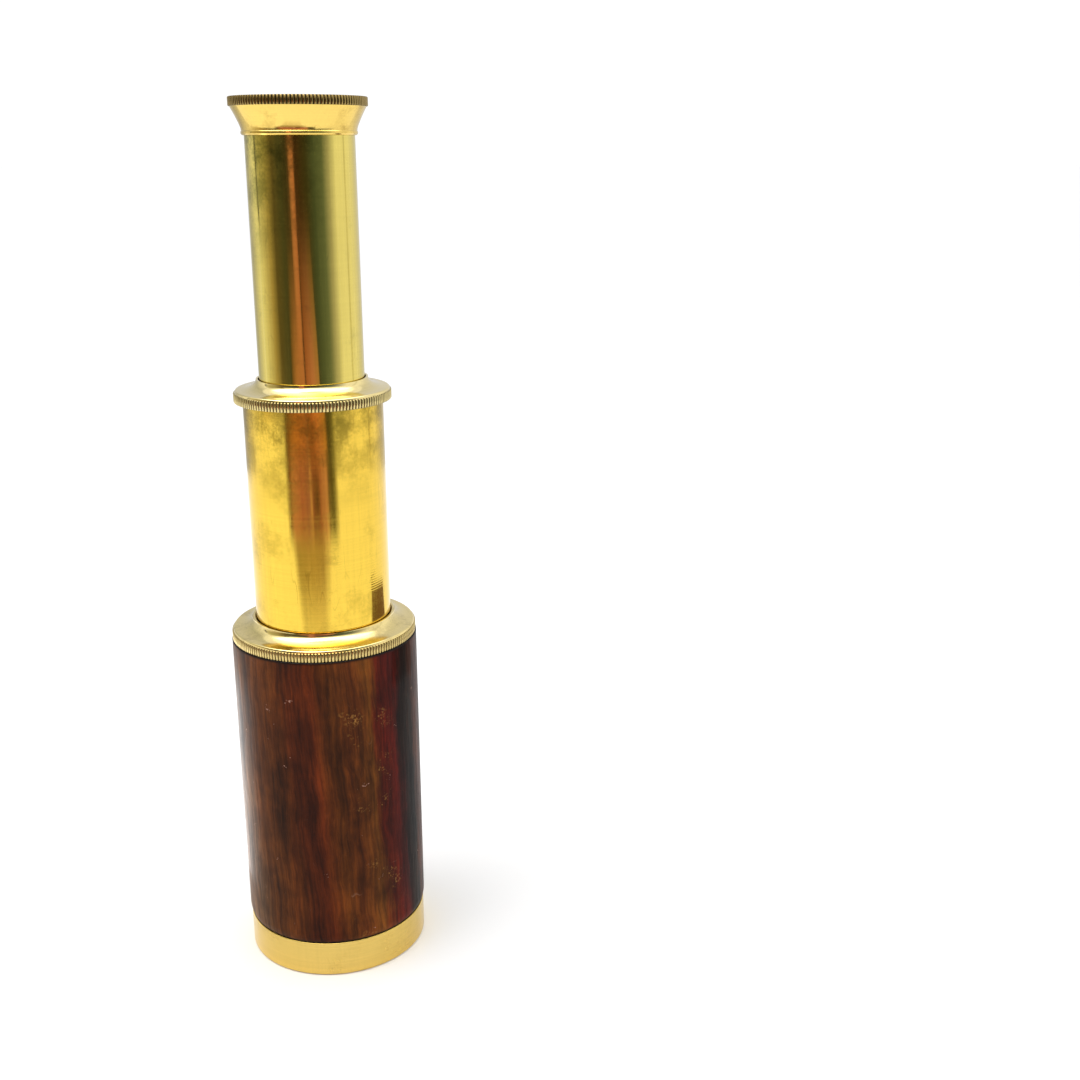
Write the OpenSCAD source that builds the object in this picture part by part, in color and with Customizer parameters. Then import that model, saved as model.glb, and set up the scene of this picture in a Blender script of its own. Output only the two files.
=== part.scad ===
// Pocket telescope: a wooden barrel with two brass draws that slide into it.
// It stands on its objective end, drawn out. The optical axis is +Z and z = 0
// is the front face of the objective ring. All sizes are in millimetres.

/* [Barrel] */
// Length of the wooden grip
wood_len = 54.7; // [46:0.1:80]
// Thickness of the wood around the body tube
wood_wall = 1.95; // [1.5:0.05:4]
// How far the wood's front edge is rounded in towards the axis
wood_round = 0.6; // [0.2:0.1:1.2]
// How far the same rounding runs up the wood
wood_round_h = 1.9; // [0.5:0.1:4]
// Wall of the brass body tube inside the wood
body_wall = 0.6; // [0.4:0.05:1]

/* [Objective] */
// Height of the smooth ring that the telescope stands on
ring_h = 6.6; // [6:0.1:10]
// How much smaller than the wood the ring is, in radius
ring_inset = 0.2; // [0.1:0.05:0.6]
// Height of the ring's inner lip, in front of the cell
ring_lip_h = 3.0; // [2:0.1:4]
// How far the lip covers the cell
ring_lip_w = 0.65; // [0.3:0.05:1]
// Chamfer on the ring's edges
ring_chamfer = 0.3; // [0.1:0.05:0.6]
// Wall of the cell around the objective lens
cell_wall = 1.2; // [0.8:0.1:2]
// Width of the cell's shoulder behind the lens
cell_shoulder_w = 1.05; // [0.6:0.05:2]
// Thickness of that shoulder
cell_shoulder_h = 0.8; // [0.5:0.1:2]
// How far the retaining ring sits behind the cell's front face
retainer_recess = 1.4; // [0.5:0.1:2]
// Height of the retaining ring
retainer_h = 1.0; // [0.6:0.1:2]
// Edge thickness of the objective lens
objective_edge = 1.6; // [1:0.1:3]
// How far the objective lens's front bulges out
objective_bulge = 2.1; // [0.6:0.1:4]
// Thickness of the stop behind the cell
objective_stop_h = 0.8; // [0.5:0.1:1.5]
// How far that stop reaches in from its edge
objective_stop_w = 5.85; // [3:0.05:8]

/* [Draw tubes] */
// Outside diameter of the small draw
small_tube_d = 18; // [15:0.5:26]
// Wall of the small draw tube
small_wall = 0.5; // [0.4:0.05:0.8]
// Wall of the large draw tube
large_wall = 0.55; // [0.4:0.05:0.9]
// Height of the stop ring at the foot of each draw
stop_h = 3.55; // [2.5:0.05:6]
// Height of the lip that holds a stop ring under its tube
stop_lip_h = 0.8; // [0.5:0.1:1.5]
// How far the small draw's lip reaches in under the erector tube
stop_lip_w = 0.9; // [0.7:0.05:1.2]
// Space left under the large draw when it is pushed in
large_end_gap = 2.25; // [1:0.05:8]
// Space left under the small draw when it is pushed in
small_end_gap = 2.05; // [1:0.05:8]

/* [Friction sleeves] */
// Length of each sleeve
sleeve_len = 9.65; // [8:0.05:14]
// Wall of each sleeve
sleeve_wall = 0.61; // [0.4:0.01:1]
// How far the flange stands out from the sleeve
flange_w = 0.6; // [0.4:0.05:1.2]
// Thickness of the flange
flange_h = 0.8; // [0.5:0.05:1.1]
// Width of the slots that let the sleeve spring
slot_w = 0.6; // [0.3:0.05:1.5]
// Length of those slots
slot_len = 7.3; // [3:0.1:7.5]
// Number of slots in each sleeve
slot_count = 4; // [2:1:8]
// Height of the nut that keeps the flange in its collar
nut_h = 1.1; // [0.8:0.05:1.5]

/* [Collars] */
// Height of the knurled rim on both collars
knurl_h = 1.6; // [1.4:0.05:3]
// Depth of the knurling
knurl_depth = 0.2; // [0.1:0.05:0.3]
// How far the turned core of a knurled rim lies inside the foot of its grooves
knurl_core_inset = 0.05; // [0.05:0.05:0.2]
// Ridges around the barrel collar
barrel_ridges = 176; // [60:4:200]
// Ridges around the draw collar
draw_ridges = 144; // [60:4:200]
// Height of the rounded shoulder above the knurling
shoulder_h = 0.4; // [0.2:0.05:0.8]
// Width of that shoulder
shoulder_w = 0.25; // [0.1:0.05:0.6]
// Height of the hollow curve that runs up to the tube
cove_h = 1.8; // [1:0.1:4]
// Width of the flat land at the top, around the tube
land_w = 0.35; // [0.2:0.05:0.6]
// Length of the threaded spigot below each collar
spigot_len = 4.0; // [3:0.1:6]
// Wall of the barrel collar's spigot
barrel_spigot_wall = 0.57; // [0.5:0.01:2]
// Wall of the draw collar's spigot
draw_spigot_wall = 1.12; // [0.5:0.01:2]
// How much smaller than the wood the barrel collar is, in radius
barrel_collar_inset = 0.1; // [0:0.05:0.5]
// How far the draw collar stands out from the large draw
draw_collar_overhang = 1.5; // [1.2:0.05:2.5]

/* [Eyecup] */
// Height of the eyecup above the small draw
cup_h = 6.0; // [5.5:0.1:9]
// How far its foot stands out from the tube
cup_foot_w = 0.3; // [0.1:0.05:0.6]
// How much wider the foot is at its top than at its bottom, in radius
cup_foot_taper = 0.2; // [0:0.05:0.4]
// Height of its foot
cup_foot_h = 0.7; // [0.4:0.05:1.2]
// How far the knurled rim stands out from the tube
cup_flare = 2.3; // [1.8:0.1:3.5]
// Height of the knurled rim
cup_knurl_h = 1.5; // [1:0.1:2.2]
// Ridges around the eyecup
cup_ridges = 120; // [60:4:180]
// Width of the flat rim around the dish
cup_rim_w = 1.0; // [0.6:0.1:2]
// Depth of the dish
cup_dish_h = 3.1; // [2:0.1:3.4]
// Thickness of the web around the eye hole
cup_web_h = 0.8; // [0.5:0.1:1.2]
// How far that web reaches in from the eyecup's bore
cup_web_w = 3.05; // [2:0.05:4]
// Wall of the spigot that screws into the small draw
cup_spigot_wall = 0.92; // [0.6:0.02:1.2]

/* [Eyepiece and erector] */
// Length of the eyepiece tube
eyepiece_len = 21.6; // [18:0.1:24]
// Wall of the eyepiece tube
eyepiece_wall = 0.5; // [0.4:0.05:0.8]
// Edge thickness of the eye and field lenses
eyepiece_edge = 1.3; // [0.8:0.1:2]
// How far the eye lens bulges out
eye_bulge = 2.9; // [0.6:0.1:3.5]
// How far the field lens bulges out
field_bulge = 1.9; // [0.6:0.1:3.5]
// Height of the field stop's spacer
field_stop_len = 4.6; // [3:0.1:9]
// How far the field stop reaches in from its spacer
field_stop_w = 1.45; // [0.5:0.05:3]
// Length of the erector tube
erector_len = 16; // [13:0.5:18]
// Wall of the erector tube
erector_wall = 0.55; // [0.4:0.05:0.8]
// Edge thickness of the erector lenses
erector_edge = 1.6; // [1:0.1:2.5]
// How far each erector lens bulges out
erector_bulge = 1.8; // [0.5:0.1:2.2]
// How far the stop between the erector lenses reaches in from its spacer
erector_stop_w = 4.2; // [2:0.1:5]
// Height of the threaded rings that hold the inner lenses
lock_ring_h = 1.0; // [0.6:0.1:1.6]
// Width of the seat that a ring or shoulder gives a lens
lens_seat_w = 0.75; // [0.5:0.05:1.2]
// How far a lens's curve keeps inside its seat
lens_curve_inset = 0.1; // [0.05:0.05:0.3]
// Thickness of the diaphragms in the inner stops
diaphragm_h = 0.6; // [0.4:0.1:1]
// How far the field stop's diaphragm lies below the end of its spacer
field_diaphragm_drop = 1.0; // [0:0.1:2]
// Wall of the spacer between the erector lenses
erector_spacer_wall = 0.65; // [0.4:0.05:0.7]
// Width of the spanner slots in the nuts and lens rings
spanner_slot_w = 1.2; // [0.8:0.1:2]
// Depth of those slots
spanner_slot_h = 0.4; // [0.2:0.05:0.5]

/* [Clearances] */
// Radial clearance of a draw in its friction sleeve
run_clear = 0.04; // [0.02:0.01:0.1]
// Radial clearance of a stop ring in the tube it slides in
slide_clear = 0.1; // [0.05:0.01:0.2]
// Radial clearance of a screw thread
thread_clear = 0.03; // [0.02:0.01:0.05]
// Radial clearance of a tube or lens in its seat
seat_clear = 0.05; // [0.02:0.01:0.08]
// Gap at a sleeve's flange, and where a draw meets its stop
end_clear = 0.05; // [0.03:0.01:0.1]
// Radial gap of a collar's top around its draw
collar_clear = 0.2; // [0.1:0.05:0.4]

/* [Hidden] */
$fn = 96;
ARC_STEPS = 8;
// How far a cutting block runs past what it cuts.
OVERCUT = 1;

// Radii, from the small draw outwards. Each tube is just wide enough for the
// sleeve, flange and threaded spigot that guide the tube inside it.
small_r = small_tube_d / 2;
small_bore = small_r - small_wall;
small_seat = sleeve_seat(small_r);
draw_spigot_r = small_seat + draw_spigot_wall;
large_bore = draw_spigot_r + thread_clear;
large_r = large_bore + large_wall;
large_seat = sleeve_seat(large_r);
barrel_spigot_r = large_seat + barrel_spigot_wall;
body_bore = barrel_spigot_r + thread_clear;
body_r = body_bore + body_wall;
wood_bore = body_r + seat_clear;
wood_r = wood_bore + wood_wall;
ring_r = wood_r - ring_inset;
barrel_collar_r = wood_r - barrel_collar_inset;
draw_collar_r = large_r + draw_collar_overhang;

// Heights of the objective end.
cell_z = ring_lip_h;
retainer_z = cell_z + retainer_recess;
objective_z = retainer_z + retainer_h;
cell_shoulder_z = objective_z + objective_edge;
objective_stop_z = cell_shoulder_z + cell_shoulder_h;
interior_z = objective_stop_z + objective_stop_h;

// Heights along the draws. Each draw is as long as the space it is pushed into.
collar_h = knurl_h + shoulder_h + cove_h;
sleeve_drop = sleeve_len + end_clear - knurl_h;
barrel_collar_z = ring_h + wood_len;
large_stop_z = barrel_collar_z - sleeve_drop - end_clear - stop_h;
large_tube_z = large_stop_z + stop_lip_h;
large_travel = large_stop_z - interior_z - large_end_gap;
draw_collar_z = barrel_collar_z + collar_h + end_clear + large_travel;
small_stop_z = draw_collar_z - sleeve_drop - end_clear - stop_h;
small_tube_z = small_stop_z + stop_lip_h;
small_travel = small_stop_z - large_tube_z - small_end_gap;
eyecup_z = draw_collar_z + collar_h + end_clear + small_travel;

// Radii and heights inside the objective cell.
cell_r = body_bore - seat_clear;
cell_bore = cell_r - cell_wall;
objective_r = cell_bore - seat_clear;
cell_opening = cell_bore - cell_shoulder_w;
objective_aperture = cell_opening - lens_curve_inset;

// Radii and heights inside the small draw.
cup_spigot_r = small_bore - thread_clear;
cup_bore = cup_spigot_r - cup_spigot_wall;
eyepiece_r = cup_bore - seat_clear;
eyepiece_bore = eyepiece_r - eyepiece_wall;
eyepiece_lens_r = eyepiece_bore - seat_clear;
eyepiece_ring_r = eyepiece_bore - thread_clear;
eyepiece_opening = eyepiece_bore - lens_seat_w;
eyepiece_aperture = eyepiece_opening - lens_curve_inset;
eye_seat_z = eyecup_z + cup_h - cup_dish_h - cup_web_h;
eye_lens_z = eye_seat_z - eyepiece_edge;
eyepiece_z = eye_seat_z - eyepiece_len;
field_lens_z = eyepiece_z + lock_ring_h;
field_ring_z = field_lens_z + eyepiece_edge;
field_stop_z = field_ring_z + lock_ring_h;
field_diaphragm_z = field_stop_z + field_stop_len - field_diaphragm_drop - diaphragm_h;
erector_r = small_bore - seat_clear;
erector_bore = erector_r - erector_wall;
erector_lens_r = erector_bore - seat_clear;
erector_ring_r = erector_bore - thread_clear;
erector_opening = erector_bore - lens_seat_w;
erector_aperture = erector_opening - lens_curve_inset;
erector_front_z = small_tube_z + lock_ring_h;
erector_spacer_z = erector_front_z + erector_edge;
erector_rear_ring_z = small_tube_z + erector_len - lock_ring_h;
erector_rear_z = erector_rear_ring_z - erector_edge;
erector_spacer_len = erector_rear_z - erector_spacer_z;

// Finishes.
POLISHED = "goldenrod";
OLIVE = "darkkhaki";
PLAIN_BRASS = "peru";
BLACKENED = "dimgray";
ROSEWOOD = "saddlebrown";
GLASS = "lightcyan";

// Radius of the recess in a collar that holds the sleeve for a tube of radius r.
function sleeve_seat(r) = r + run_clear + sleeve_wall + flange_w + end_clear;

// Radius of the ball whose cap is bulge high and reaches out to aperture.
function cap_radius(aperture, bulge) = (pow(aperture, 2) + pow(bulge, 2)) / (2 * bulge);

// Points of a quarter ellipse about (x, z), from angle a to angle b.
function arc(x, z, rx, rz, a, b) =
    [for (i = [0:ARC_STEPS]) let (t = a + (b - a) * i / ARC_STEPS) [x + rx * cos(t), z + rz * sin(t)]];

// A solid turned about the optical axis from a profile of [radius, height] points.
module turned(points) {
    rotate_extrude() polygon(points);
}

// A tube between two radii.
module tube(outer, inner, z, h) {
    turned([[inner, z], [outer, z], [outer, z + h], [inner, z + h]]);
}

// A straight-knurled band whose ridges reach radius r.
module knurling(r, inner, z, h, ridges) {
    translate([0, 0, z]) linear_extrude(h) difference() {
        polygon([for (i = [0:2 * ridges - 1])
            (r - (i % 2) * knurl_depth) * [cos(180 * i / ridges), sin(180 * i / ridges)]]);
        circle(inner);
    }
}

// A collar with a knurled rim, a coved top, a recess for a friction sleeve and
// a spigot that screws into the tube below it.
module collar(r, tube_r, seat, spigot_r, z, ridges) {
    core = r - knurl_depth - knurl_core_inset;
    bore = tube_r + collar_clear;
    rim = z + knurl_h;
    top = rim + shoulder_h + cove_h;
    crest = core - shoulder_w;
    union() {
        turned(concat(
            [[seat, z - spigot_len], [spigot_r, z - spigot_len], [spigot_r, z], [core, z], [core, rim]],
            arc(crest, rim, shoulder_w, shoulder_h, 0, 90),
            arc(crest, top, crest - bore - land_w, cove_h, 270, 180),
            [[bore, top], [bore, rim], [seat, rim]]
        ));
        knurling(r, core, z, knurl_h, ridges);
    }
}

// A split sleeve that grips a draw. Its flange lies in the collar at height z.
module friction_sleeve(tube_r, z) {
    inner = tube_r + run_clear;
    outer = inner + sleeve_wall;
    top = z + knurl_h - end_clear;
    foot = top - sleeve_len;
    difference() {
        turned([
            [inner, foot], [outer, foot], [outer, top - flange_h], [outer + flange_w, top - flange_h],
            [outer + flange_w, top], [inner, top]
        ]);
        for (i = [0:slot_count - 1])
            rotate(360 * i / slot_count)
                translate([inner - OVERCUT, -slot_w / 2, foot - OVERCUT])
                    cube([sleeve_wall + 2 * OVERCUT, slot_w, slot_len + OVERCUT]);
    }
}

// The nut that is screwed into a collar under its sleeve's flange.
module sleeve_nut(tube_r, z) {
    outer = sleeve_seat(tube_r) - thread_clear;
    inner = tube_r + run_clear + sleeve_wall + seat_clear;
    slotted_ring(outer, inner, z + knurl_h - 2 * end_clear - flange_h - nut_h, nut_h, false);
}

// The ring on the foot of a draw that stops it against its sleeve.
module draw_stop(outer_bore, tube_r, lip_r, z) {
    turned([
        [lip_r, z], [outer_bore - slide_clear, z], [outer_bore - slide_clear, z + stop_h],
        [tube_r + seat_clear, z + stop_h], [tube_r + seat_clear, z + stop_lip_h], [lip_r, z + stop_lip_h]
    ]);
}

// A threaded ring with two slots for a spanner, in its upper or lower face.
module slotted_ring(outer, inner, z, h, slots_above) {
    slot_z = slots_above ? z + h - spanner_slot_h : z - OVERCUT;
    difference() {
        tube(outer, inner, z, h);
        translate([-outer - OVERCUT, -spanner_slot_w / 2, slot_z])
            cube([2 * (outer + OVERCUT), spanner_slot_w, spanner_slot_h + OVERCUT]);
    }
}

// A round lens with a flat seat round its edge and a bulge below or above it.
module lens(r, aperture, z, edge, bulge_below, bulge_above) {
    translate([0, 0, z]) cylinder(r = r, h = edge);
    if (bulge_below > 0)
        intersection() {
            translate([0, 0, z - bulge_below + cap_radius(aperture, bulge_below)])
                sphere(cap_radius(aperture, bulge_below));
            translate([0, 0, z - bulge_below]) cylinder(r = r, h = bulge_below);
        }
    if (bulge_above > 0)
        intersection() {
            translate([0, 0, z + edge + bulge_above - cap_radius(aperture, bulge_above)])
                sphere(cap_radius(aperture, bulge_above));
            translate([0, 0, z + edge]) cylinder(r = r, h = bulge_above);
        }
}

// A blackened diaphragm at the end of a spacer tube.
module spacer_stop(r, wall, z, h, reach, diaphragm_z) {
    opening = r - wall - reach;
    turned([
        [r - wall, z], [r, z], [r, z + h], [r - wall, z + h],
        [r - wall, diaphragm_z + diaphragm_h], [opening, diaphragm_z + diaphragm_h],
        [opening, diaphragm_z], [r - wall, diaphragm_z]
    ]);
}

module objective_ring() {
    lip = cell_r - ring_lip_w;
    thread = body_r + thread_clear;
    c = ring_chamfer;
    color(POLISHED) turned([
        [lip, c], [lip + c, 0], [ring_r - c, 0], [ring_r, c], [ring_r, ring_h - c], [ring_r - c, ring_h],
        [thread, ring_h], [thread, cell_z], [lip, cell_z]
    ]);
}

module objective_cell() {
    color(PLAIN_BRASS) turned([
        [cell_bore, cell_z], [cell_r, cell_z], [cell_r, objective_stop_z], [cell_opening, objective_stop_z],
        [cell_opening, cell_shoulder_z], [cell_bore, cell_shoulder_z]
    ]);
}

module objective_lens() {
    color(GLASS) lens(objective_r, objective_aperture, objective_z, objective_edge, objective_bulge, 0);
}

module objective_retainer() {
    color(BLACKENED) slotted_ring(cell_bore - thread_clear, cell_opening, retainer_z, retainer_h, false);
}

module objective_stop() {
    color(BLACKENED) tube(cell_r, cell_r - objective_stop_w, objective_stop_z, objective_stop_h);
}

module body_tube() {
    color(PLAIN_BRASS) tube(body_r, body_bore, cell_z, barrel_collar_z - cell_z);
}

module wood_barrel() {
    color(ROSEWOOD) turned(concat(
        [[wood_bore, ring_h]],
        arc(wood_r - wood_round, ring_h + wood_round_h, wood_round, wood_round_h, -90, 0),
        [[wood_r, barrel_collar_z], [wood_bore, barrel_collar_z]]
    ));
}

module barrel_collar() {
    color(POLISHED)
        collar(barrel_collar_r, large_r, large_seat, barrel_spigot_r, barrel_collar_z, barrel_ridges);
}

module barrel_sleeve_nut() {
    color(PLAIN_BRASS) sleeve_nut(large_r, barrel_collar_z);
}

module barrel_sleeve() {
    color(PLAIN_BRASS) friction_sleeve(large_r, barrel_collar_z);
}

module large_draw_tube() {
    color(POLISHED) tube(large_r, large_bore, large_tube_z, draw_collar_z - large_tube_z);
}

module large_draw_stop() {
    color(PLAIN_BRASS) draw_stop(body_bore, large_r, large_bore, large_stop_z);
}

module draw_collar() {
    color(POLISHED)
        collar(draw_collar_r, small_r, small_seat, draw_spigot_r, draw_collar_z, draw_ridges);
}

module draw_sleeve_nut() {
    color(PLAIN_BRASS) sleeve_nut(small_r, draw_collar_z);
}

module draw_sleeve() {
    color(PLAIN_BRASS) friction_sleeve(small_r, draw_collar_z);
}

module small_draw_tube() {
    color(OLIVE) tube(small_r, small_bore, small_tube_z, eyecup_z - small_tube_z);
}

module small_draw_stop() {
    color(PLAIN_BRASS) draw_stop(large_bore, small_r, small_bore - stop_lip_w, small_stop_z);
}

module eyecup() {
    foot = small_r + cup_foot_w;
    rim_r = small_r + cup_flare;
    core = rim_r - knurl_depth - knurl_core_inset;
    top = eyecup_z + cup_h;
    knurl_z = top - cup_knurl_h;
    dish_r = rim_r - cup_rim_w;
    hole = cup_bore - cup_web_w;
    color(POLISHED) union() {
        turned(concat(
            [
                [cup_bore, eyecup_z - spigot_len], [cup_spigot_r, eyecup_z - spigot_len],
                [cup_spigot_r, eyecup_z], [foot, eyecup_z], [foot + cup_foot_taper, eyecup_z + cup_foot_h],
                [core, knurl_z], [core, top]
            ],
            arc(hole, top, dish_r - hole, cup_dish_h, 0, -90),
            [[hole, eye_seat_z], [cup_bore, eye_seat_z]]
        ));
        knurling(rim_r, core, knurl_z, cup_knurl_h, cup_ridges);
    }
}

module eyepiece_tube() {
    color(PLAIN_BRASS) turned([
        [eyepiece_opening, eyepiece_z], [eyepiece_r, eyepiece_z], [eyepiece_r, eye_seat_z],
        [eyepiece_bore, eye_seat_z], [eyepiece_bore, field_lens_z], [eyepiece_opening, field_lens_z]
    ]);
}

module eye_lens() {
    color(GLASS) lens(eyepiece_lens_r, eyepiece_aperture, eye_lens_z, eyepiece_edge, eye_bulge, 0);
}

module eye_lens_ring() {
    color(BLACKENED)
        slotted_ring(eyepiece_ring_r, eyepiece_opening, eye_lens_z - lock_ring_h, lock_ring_h, false);
}

module field_lens() {
    color(GLASS) lens(eyepiece_lens_r, eyepiece_aperture, field_lens_z, eyepiece_edge, field_bulge, 0);
}

module field_lens_ring() {
    color(BLACKENED) slotted_ring(eyepiece_ring_r, eyepiece_opening, field_ring_z, lock_ring_h, true);
}

module field_stop() {
    color(BLACKENED) spacer_stop(
        eyepiece_lens_r, eyepiece_wall, field_stop_z, field_stop_len, field_stop_w, field_diaphragm_z);
}

module erector_tube() {
    color(BLACKENED) tube(erector_r, erector_bore, small_tube_z, erector_len);
}

module erector_front_lens() {
    color(GLASS) lens(erector_lens_r, erector_aperture, erector_front_z, erector_edge, 0, erector_bulge);
}

module erector_rear_lens() {
    color(GLASS) lens(erector_lens_r, erector_aperture, erector_rear_z, erector_edge, erector_bulge, 0);
}

module erector_front_ring() {
    color(BLACKENED) slotted_ring(erector_ring_r, erector_opening, small_tube_z, lock_ring_h, false);
}

module erector_rear_ring() {
    color(BLACKENED) slotted_ring(erector_ring_r, erector_opening, erector_rear_ring_z, lock_ring_h, true);
}

module erector_stop() {
    color(BLACKENED) spacer_stop(
        erector_lens_r, erector_spacer_wall, erector_spacer_z, erector_spacer_len, erector_stop_w,
        erector_spacer_z + (erector_spacer_len - diaphragm_h) / 2);
}

objective_ring();
objective_cell();
objective_lens();
objective_retainer();
objective_stop();
body_tube();
wood_barrel();
barrel_collar();
barrel_sleeve_nut();
barrel_sleeve();
large_draw_tube();
large_draw_stop();
draw_collar();
draw_sleeve_nut();
draw_sleeve();
small_draw_tube();
small_draw_stop();
eyecup();
eyepiece_tube();
eye_lens();
eye_lens_ring();
field_lens();
field_lens_ring();
field_stop();
erector_tube();
erector_front_lens();
erector_rear_lens();
erector_front_ring();
erector_rear_ring();
erector_stop();
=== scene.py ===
import math

import bmesh
import bpy
from mathutils import Matrix, Vector


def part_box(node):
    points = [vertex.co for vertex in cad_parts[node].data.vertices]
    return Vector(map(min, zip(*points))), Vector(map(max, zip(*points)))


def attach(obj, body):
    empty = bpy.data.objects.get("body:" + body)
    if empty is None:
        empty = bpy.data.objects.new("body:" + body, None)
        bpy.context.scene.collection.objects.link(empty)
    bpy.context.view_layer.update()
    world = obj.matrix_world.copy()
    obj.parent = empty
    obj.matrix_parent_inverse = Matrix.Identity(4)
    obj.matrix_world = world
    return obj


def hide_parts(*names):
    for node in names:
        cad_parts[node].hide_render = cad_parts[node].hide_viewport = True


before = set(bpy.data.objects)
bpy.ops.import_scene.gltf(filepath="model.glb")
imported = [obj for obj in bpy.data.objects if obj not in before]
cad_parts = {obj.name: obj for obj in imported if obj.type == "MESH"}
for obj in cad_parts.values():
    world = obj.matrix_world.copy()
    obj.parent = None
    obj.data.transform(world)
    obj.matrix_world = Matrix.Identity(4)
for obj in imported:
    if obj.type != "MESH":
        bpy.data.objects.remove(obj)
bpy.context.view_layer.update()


# PLAIN BRASS INSIDE THE BARREL AND THE DRAWS
# The body tube, the objective's cell, the friction sleeves with their nuts, the stops that keep
# the draws from pulling out, and the eyepiece's tube. All are turned from brass and left as the
# lathe tool left them, dulled by handling and the grease that the draws slide in.
MM = 0.001

PLAIN_BRASS_PARTS = (
    "objective_cell", "body_tube", "barrel_sleeve", "barrel_sleeve_nut", "large_draw_stop",
    "draw_sleeve", "draw_sleeve_nut", "small_draw_stop", "eyepiece_tube")


def place(tree, kind, inputs=None, **settings):
    """A node with its settings, each input either a plain value or the socket that feeds it."""
    node = tree.nodes.new(kind)
    for name, value in settings.items():
        setattr(node, name, value)
    for name, value in (inputs or {}).items():
        if isinstance(value, bpy.types.NodeSocket):
            tree.links.new(value, node.inputs[name])
        else:
            node.inputs[name].default_value = value
    return node


def calc(tree, operation, first, second=0.0, third=0.0, clamp=False):
    """The result of one sum, product or other calculation."""
    node = place(tree, "ShaderNodeMath", {0: first, 1: second, 2: third}, operation=operation)
    node.use_clamp = clamp
    return node.outputs[0]


def blended(tree, amount, first, second):
    """first where amount is 0 and second where it is 1, as a colour."""
    node = place(tree, "ShaderNodeMix", {0: amount}, data_type="RGBA")
    for socket, colour in ((node.inputs[6], first), (node.inputs[7], second)):
        if isinstance(colour, bpy.types.NodeSocket):
            tree.links.new(colour, socket)
        else:
            socket.default_value = colour
    return node.outputs[2]


def effect(name, inputs, outputs):
    """An empty shader node group with named inputs and outputs: the group, its entry and its exit.
    An input whose value is None is a vector."""
    tree = bpy.data.node_groups.new(name, "ShaderNodeTree")
    for label, value in inputs.items():
        kind = "NodeSocketVector" if value is None else "NodeSocketFloat"
        socket = tree.interface.new_socket(label, in_out="INPUT", socket_type=kind)
        if value is not None:
            socket.default_value = value
    for label in outputs:
        tree.interface.new_socket(label, in_out="OUTPUT", socket_type="NodeSocketFloat")
    return tree, place(tree, "NodeGroupInput"), place(tree, "NodeGroupOutput")


def noise(tree, at, scale, detail, roughness=0.5):
    """Cloudy noise: its value about 0.5, then the same as a colour."""
    return place(tree, "ShaderNodeTexNoise", {
        "Vector": at, "Scale": scale, "Detail": detail, "Roughness": roughness}).outputs


def stretched(tree, at, across, along):
    """A place scaled by one amount across the optical axis and by another along it."""
    scale = place(tree, "ShaderNodeCombineXYZ", {0: across, 1: across, 2: along}).outputs[0]
    return place(tree, "ShaderNodeVectorMath", {0: at, 1: scale}, operation="MULTIPLY").outputs[0]


def tarnish_effect():
    """Soft-edged patches of oxide broken up by fine specks."""
    speck_scale, speck_share = 9.0, 0.35
    tree, entry, leave = effect(
        "Tarnish patches", {"Vector": None, "Per metre": 150.0, "Cover": 0.4, "Softness": 0.2}, ["Mask"])
    at, scale = entry.outputs["Vector"], entry.outputs["Per metre"]
    broad = noise(tree, at, scale, 4.0, 0.55)[0]
    fine = noise(tree, at, calc(tree, "MULTIPLY", scale, speck_scale), 3.0, 0.7)[0]
    mixed = calc(tree, "MULTIPLY_ADD", calc(tree, "SUBTRACT", fine, 0.5), speck_share, broad)
    over = calc(tree, "SUBTRACT", mixed, calc(tree, "SUBTRACT", 1.0, entry.outputs["Cover"]))
    mask = calc(tree, "DIVIDE", over, entry.outputs["Softness"], clamp=True)
    tree.links.new(mask, leave.inputs["Mask"])
    return tree


def streak_effect():
    """Fine lines drawn out along the tube or round it, as polishing and sliding leave them."""
    tree, entry, leave = effect(
        "Drawn-out lines", {"Vector": None, "Across": 2500.0, "Along": 60.0, "Contrast": 2.5}, ["Value"])
    scaled = stretched(tree, *list(entry.outputs)[:3])
    level = calc(tree, "SUBTRACT", noise(tree, scaled, 1.0, 4.0, 0.65)[0], 0.5)
    value = calc(tree, "MULTIPLY_ADD", level, entry.outputs["Contrast"], 0.5, clamp=True)
    tree.links.new(value, leave.inputs["Value"])
    return tree


def scratch_effect():
    """Sparse hair-thin scratches, drawn out along the tube and broken off by a slower pattern."""
    patch_scale, patch_edge = 210.0, 9.0
    tree, entry, leave = effect("Hair scratches", {
        "Vector": None, "Across": 500.0, "Along": 60.0, "Width": 0.01, "Cover": 0.45}, ["Mask"])
    scaled = stretched(tree, *list(entry.outputs)[:3])
    off = calc(tree, "ABSOLUTE", calc(tree, "SUBTRACT", noise(tree, scaled, 1.0, 1.0)[0], 0.5))
    line = calc(tree, "SUBTRACT", 1.0, calc(tree, "DIVIDE", off, entry.outputs["Width"]), clamp=True)
    where = noise(tree, entry.outputs["Vector"], patch_scale, 2.0)[0]
    over = calc(tree, "SUBTRACT", calc(tree, "ADD", where, entry.outputs["Cover"]), 1.0)
    here = calc(tree, "MULTIPLY", over, patch_edge, clamp=True)
    tree.links.new(calc(tree, "MULTIPLY", line, here), leave.inputs["Mask"])
    return tree


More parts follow.
